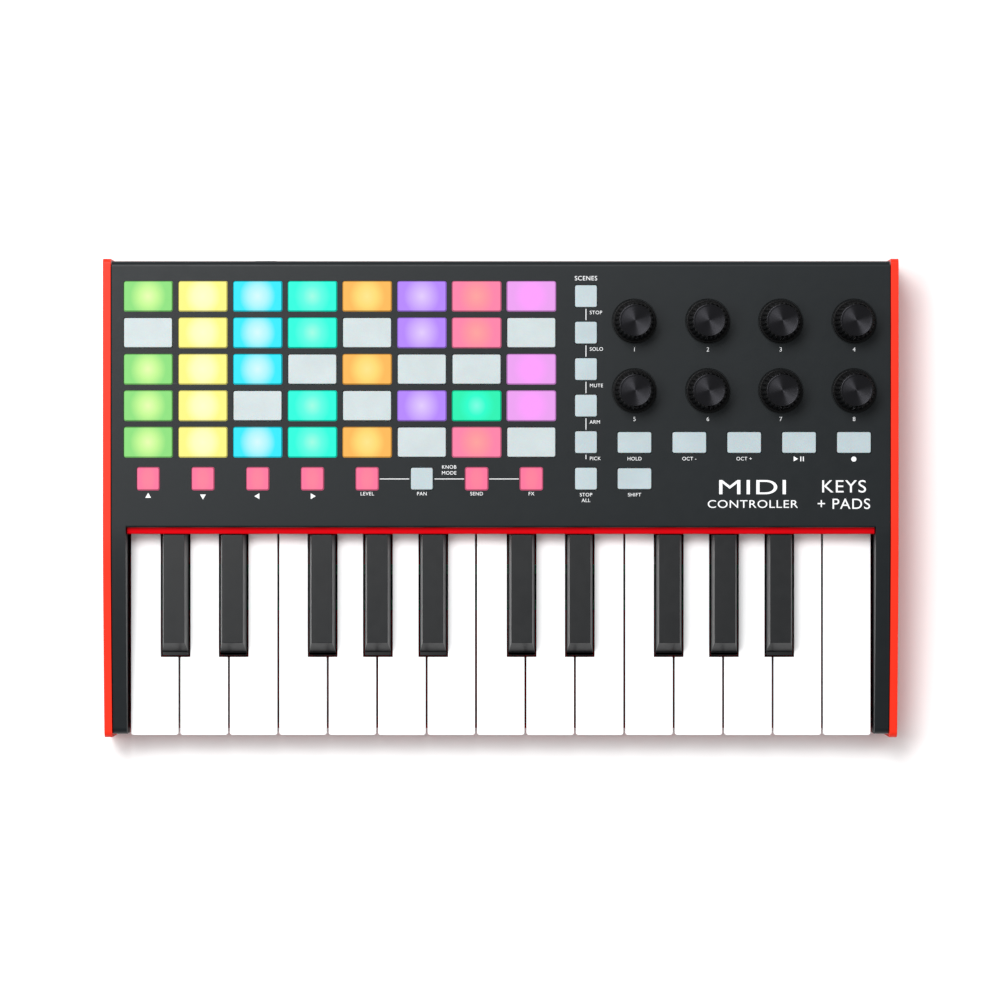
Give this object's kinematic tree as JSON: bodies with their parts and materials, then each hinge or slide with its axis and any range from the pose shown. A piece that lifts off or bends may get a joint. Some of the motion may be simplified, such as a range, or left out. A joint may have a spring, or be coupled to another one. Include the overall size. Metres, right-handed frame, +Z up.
{
  "type": "midi keyboard",
  "caption": "Compact keyboard controller with slim piano keys, a grid of lit pads, endless rotary knobs and small buttons in a shallow case with coloured end cheeks.",
  "frame": {"origin": "on the table under the middle of the case, at the underside of the feet", "axes": "+X along the keys to the high notes, +Y to the rear panel, +Z up"},
  "size_m": [0.31, 0.187, 0.0415],
  "materials": {
    "case_red": "fine moulded texture, red",
    "cover_black": "finely textured charcoal black",
    "cheek_red": "satin orange red",
    "trim_red": "smooth deep red",
    "key_white": "smooth white",
    "key_black": "finely textured black",
    "knob_black": "black with a spun cap",
    "pad_silicone": "translucent grey silicone, lit from below",
    "button_silicone": "translucent grey silicone",
    "silicone_clear": "matt silicone sheet",
    "contact_rubber": "matt rubber",
    "foot_rubber": "matt black rubber",
    "circuit_board": "green solder mask",
    "felt": "felt",
    "steel": "bright zinc",
    "encoder_metal": "plated",
    "socket_metal": "nickel plated",
    "jack_black": "black nylon",
    "ribbon": "flat cable film"
  },
  "bodies": {
    "case": {"bottom_case": "case_red", "top_cover": "cover_black", "rear_panel": "cover_black", "key_blocks": "cover_black", "left_cheek": "cheek_red", "right_cheek": "cheek_red", "key_trim": "trim_red", "key_chassis": "case_red", "key_pivot_rod": "steel", "key_contact_strip": "contact_rubber", "key_felts": "felt", "circuit_boards": "circuit_board", "encoders": "encoder_metal", "silicone_mats": "silicone_clear", "usb_socket": "socket_metal", "sustain_jack": "jack_black", "ribbon_cables": "ribbon", "rubber_feet": "foot_rubber", "screws": "steel"},
    "key_c_1": {"key_c_1": "key_white"},
    "key_c_sharp_1": {"key_c_sharp_1": "key_black"},
    "key_d_1": {"key_d_1": "key_white"},
    "key_d_sharp_1": {"key_d_sharp_1": "key_black"},
    "key_e_1": {"key_e_1": "key_white"},
    "key_f_1": {"key_f_1": "key_white"},
    "key_f_sharp_1": {"key_f_sharp_1": "key_black"},
    "key_g_1": {"key_g_1": "key_white"},
    "key_g_sharp_1": {"key_g_sharp_1": "key_black"},
    "key_a_1": {"key_a_1": "key_white"},
    "key_a_sharp_1": {"key_a_sharp_1": "key_black"},
    "key_b_1": {"key_b_1": "key_white"},
    "key_c_2": {"key_c_2": "key_white"},
    "key_c_sharp_2": {"key_c_sharp_2": "key_black"},
    "key_d_2": {"key_d_2": "key_white"},
    "key_d_sharp_2": {"key_d_sharp_2": "key_black"},
    "key_e_2": {"key_e_2": "key_white"},
    "key_f_2": {"key_f_2": "key_white"},
    "key_f_sharp_2": {"key_f_sharp_2": "key_black"},
    "key_g_2": {"key_g_2": "key_white"},
    "key_g_sharp_2": {"key_g_sharp_2": "key_black"},
    "key_a_2": {"key_a_2": "key_white"},
    "key_a_sharp_2": {"key_a_sharp_2": "key_black"},
    "key_b_2": {"key_b_2": "key_white"},
    "key_c_3": {"key_c_3": "key_white"},
    "knob_1": {"knob_1": "knob_black"},
    "knob_2": {"knob_2": "knob_black"},
    "knob_3": {"knob_3": "knob_black"},
    "knob_4": {"knob_4": "knob_black"},
    "knob_5": {"knob_5": "knob_black"},
    "knob_6": {"knob_6": "knob_black"},
    "knob_7": {"knob_7": "knob_black"},
    "knob_8": {"knob_8": "knob_black"},
    "pad_row_1": {"pad_row_1": "pad_silicone"},
    "pad_row_2": {"pad_row_2": "pad_silicone"},
    "pad_row_3": {"pad_row_3": "pad_silicone"},
    "pad_row_4": {"pad_row_4": "pad_silicone"},
    "pad_row_5": {"pad_row_5": "pad_silicone"},
    "track_buttons": {"track_buttons": "button_silicone"},
    "soft_buttons": {"soft_buttons": "button_silicone"},
    "function_buttons": {"function_buttons": "button_silicone"}
  },
  "joints": [
    {"name": "key_c_1_press", "type": "hinge", "parent": "case", "child": "key_c_1", "pos_m": [0, 0.001, 0.012], "axis": [1, 0, 0], "range_deg": [0, 2.8], "stiffness_Nm_per_rad": 0.3, "springref_deg": -5.73},
    {"name": "key_c_sharp_1_press", "type": "hinge", "parent": "case", "child": "key_c_sharp_1", "pos_m": [0, 0.001, 0.012], "axis": [1, 0, 0], "range_deg": [0, 2.8], "stiffness_Nm_per_rad": 0.3, "springref_deg": -5.73},
    {"name": "key_g_1_press", "type": "hinge", "parent": "case", "child": "key_g_1", "pos_m": [0, 0.001, 0.012], "axis": [1, 0, 0], "range_deg": [0, 2.8], "stiffness_Nm_per_rad": 0.3, "springref_deg": -5.73},
    {"name": "key_a_sharp_2_press", "type": "hinge", "parent": "case", "child": "key_a_sharp_2", "pos_m": [0, 0.001, 0.012], "axis": [1, 0, 0], "range_deg": [0, 2.8], "stiffness_Nm_per_rad": 0.3, "springref_deg": -5.73},
    {"name": "key_c_3_press", "type": "hinge", "parent": "case", "child": "key_c_3", "pos_m": [0, 0.001, 0.012], "axis": [1, 0, 0], "range_deg": [0, 2.8], "stiffness_Nm_per_rad": 0.3, "springref_deg": -5.73},
    {"name": "knob_1_turn", "type": "hinge", "parent": "case", "child": "knob_1", "pos_m": [0.0521, 0.069, 0.03], "axis": [0, 0, 1], "continuous": true},
    {"name": "knob_8_turn", "type": "hinge", "parent": "case", "child": "knob_8", "pos_m": [0.1377, 0.0419, 0.03], "axis": [0, 0, 1], "continuous": true},
    {"name": "pad_row_1_press", "type": "slide", "parent": "case", "child": "pad_row_1", "axis": [0, 0, -1], "range_m": [0, 0.0012], "stiffness_N_per_m": 1600, "springref_m": -0.001},
    {"name": "pad_row_2_press", "type": "slide", "parent": "case", "child": "pad_row_2", "axis": [0, 0, -1], "range_m": [0, 0.0012], "stiffness_N_per_m": 1600, "springref_m": -0.001},
    {"name": "pad_row_3_press", "type": "slide", "parent": "case", "child": "pad_row_3", "axis": [0, 0, -1], "range_m": [0, 0.0012], "stiffness_N_per_m": 1600, "springref_m": -0.001},
    {"name": "pad_row_4_press", "type": "slide", "parent": "case", "child": "pad_row_4", "axis": [0, 0, -1], "range_m": [0, 0.0012], "stiffness_N_per_m": 1600, "springref_m": -0.001},
    {"name": "pad_row_5_press", "type": "slide", "parent": "case", "child": "pad_row_5", "axis": [0, 0, -1], "range_m": [0, 0.0012], "stiffness_N_per_m": 1600, "springref_m": -0.001},
    {"name": "track_buttons_press", "type": "slide", "parent": "case", "child": "track_buttons", "axis": [0, 0, -1], "range_m": [0, 0.0012], "stiffness_N_per_m": 1200, "springref_m": -0.001},
    {"name": "soft_buttons_press", "type": "slide", "parent": "case", "child": "soft_buttons", "axis": [0, 0, -1], "range_m": [0, 0.0012], "stiffness_N_per_m": 1000, "springref_m": -0.001},
    {"name": "function_buttons_press", "type": "slide", "parent": "case", "child": "function_buttons", "axis": [0, 0, -1], "range_m": [0, 0.0012], "stiffness_N_per_m": 1000, "springref_m": -0.001},
    {"name": "knob_2_turn", "type": "hinge", "parent": "case", "child": "knob_2", "pos_m": [0.0807, 0.069, 0.03], "axis": [0, 0, 1], "continuous": true},
    {"name": "knob_3_turn", "type": "hinge", "parent": "case", "child": "knob_3", "pos_m": [0.1091, 0.069, 0.03], "axis": [0, 0, 1], "continuous": true},
    {"name": "knob_4_turn", "type": "hinge", "parent": "case", "child": "knob_4", "pos_m": [0.1377, 0.069, 0.03], "axis": [0, 0, 1], "continuous": true},
    {"name": "knob_5_turn", "type": "hinge", "parent": "case", "child": "knob_5", "pos_m": [0.0521, 0.0419, 0.03], "axis": [0, 0, 1], "continuous": true},
    {"name": "knob_6_turn", "type": "hinge", "parent": "case", "child": "knob_6", "pos_m": [0.0807, 0.0419, 0.03], "axis": [0, 0, 1], "continuous": true},
    {"name": "knob_7_turn", "type": "hinge", "parent": "case", "child": "knob_7", "pos_m": [0.1091, 0.0419, 0.03], "axis": [0, 0, 1], "continuous": true},
    {"name": "key_d_1_press", "type": "hinge", "parent": "case", "child": "key_d_1", "pos_m": [0, 0.001, 0.012], "axis": [1, 0, 0], "range_deg": [0, 2.8], "stiffness_Nm_per_rad": 0.3, "springref_deg": -5.73},
    {"name": "key_d_sharp_1_press", "type": "hinge", "parent": "case", "child": "key_d_sharp_1", "pos_m": [0, 0.001, 0.012], "axis": [1, 0, 0], "range_deg": [0, 2.8], "stiffness_Nm_per_rad": 0.3, "springref_deg": -5.73},
    {"name": "key_e_1_press", "type": "hinge", "parent": "case", "child": "key_e_1", "pos_m": [0, 0.001, 0.012], "axis": [1, 0, 0], "range_deg": [0, 2.8], "stiffness_Nm_per_rad": 0.3, "springref_deg": -5.73},
    {"name": "key_f_1_press", "type": "hinge", "parent": "case", "child": "key_f_1", "pos_m": [0, 0.001, 0.012], "axis": [1, 0, 0], "range_deg": [0, 2.8], "stiffness_Nm_per_rad": 0.3, "springref_deg": -5.73},
    {"name": "key_f_sharp_1_press", "type": "hinge", "parent": "case", "child": "key_f_sharp_1", "pos_m": [0, 0.001, 0.012], "axis": [1, 0, 0], "range_deg": [0, 2.8], "stiffness_Nm_per_rad": 0.3, "springref_deg": -5.73},
    {"name": "key_g_sharp_1_press", "type": "hinge", "parent": "case", "child": "key_g_sharp_1", "pos_m": [0, 0.001, 0.012], "axis": [1, 0, 0], "range_deg": [0, 2.8], "stiffness_Nm_per_rad": 0.3, "springref_deg": -5.73},
    {"name": "key_a_1_press", "type": "hinge", "parent": "case", "child": "key_a_1", "pos_m": [0, 0.001, 0.012], "axis": [1, 0, 0], "range_deg": [0, 2.8], "stiffness_Nm_per_rad": 0.3, "springref_deg": -5.73},
    {"name": "key_a_sharp_1_press", "type": "hinge", "parent": "case", "child": "key_a_sharp_1", "pos_m": [0, 0.001, 0.012], "axis": [1, 0, 0], "range_deg": [0, 2.8], "stiffness_Nm_per_rad": 0.3, "springref_deg": -5.73},
    {"name": "key_b_1_press", "type": "hinge", "parent": "case", "child": "key_b_1", "pos_m": [0, 0.001, 0.012], "axis": [1, 0, 0], "range_deg": [0, 2.8], "stiffness_Nm_per_rad": 0.3, "springref_deg": -5.73},
    {"name": "key_c_2_press", "type": "hinge", "parent": "case", "child": "key_c_2", "pos_m": [0, 0.001, 0.012], "axis": [1, 0, 0], "range_deg": [0, 2.8], "stiffness_Nm_per_rad": 0.3, "springref_deg": -5.73},
    {"name": "key_c_sharp_2_press", "type": "hinge", "parent": "case", "child": "key_c_sharp_2", "pos_m": [0, 0.001, 0.012], "axis": [1, 0, 0], "range_deg": [0, 2.8], "stiffness_Nm_per_rad": 0.3, "springref_deg": -5.73},
    {"name": "key_d_2_press", "type": "hinge", "parent": "case", "child": "key_d_2", "pos_m": [0, 0.001, 0.012], "axis": [1, 0, 0], "range_deg": [0, 2.8], "stiffness_Nm_per_rad": 0.3, "springref_deg": -5.73},
    {"name": "key_d_sharp_2_press", "type": "hinge", "parent": "case", "child": "key_d_sharp_2", "pos_m": [0, 0.001, 0.012], "axis": [1, 0, 0], "range_deg": [0, 2.8], "stiffness_Nm_per_rad": 0.3, "springref_deg": -5.73},
    {"name": "key_e_2_press", "type": "hinge", "parent": "case", "child": "key_e_2", "pos_m": [0, 0.001, 0.012], "axis": [1, 0, 0], "range_deg": [0, 2.8], "stiffness_Nm_per_rad": 0.3, "springref_deg": -5.73},
    {"name": "key_f_2_press", "type": "hinge", "parent": "case", "child": "key_f_2", "pos_m": [0, 0.001, 0.012], "axis": [1, 0, 0], "range_deg": [0, 2.8], "stiffness_Nm_per_rad": 0.3, "springref_deg": -5.73},
    {"name": "key_f_sharp_2_press", "type": "hinge", "parent": "case", "child": "key_f_sharp_2", "pos_m": [0, 0.001, 0.012], "axis": [1, 0, 0], "range_deg": [0, 2.8], "stiffness_Nm_per_rad": 0.3, "springref_deg": -5.73},
    {"name": "key_g_2_press", "type": "hinge", "parent": "case", "child": "key_g_2", "pos_m": [0, 0.001, 0.012], "axis": [1, 0, 0], "range_deg": [0, 2.8], "stiffness_Nm_per_rad": 0.3, "springref_deg": -5.73},
    {"name": "key_g_sharp_2_press", "type": "hinge", "parent": "case", "child": "key_g_sharp_2", "pos_m": [0, 0.001, 0.012], "axis": [1, 0, 0], "range_deg": [0, 2.8], "stiffness_Nm_per_rad": 0.3, "springref_deg": -5.73},
    {"name": "key_a_2_press", "type": "hinge", "parent": "case", "child": "key_a_2", "pos_m": [0, 0.001, 0.012], "axis": [1, 0, 0], "range_deg": [0, 2.8], "stiffness_Nm_per_rad": 0.3, "springref_deg": -5.73},
    {"name": "key_b_2_press", "type": "hinge", "parent": "case", "child": "key_b_2", "pos_m": [0, 0.001, 0.012], "axis": [1, 0, 0], "range_deg": [0, 2.8], "stiffness_Nm_per_rad": 0.3, "springref_deg": -5.73}
  ]
}
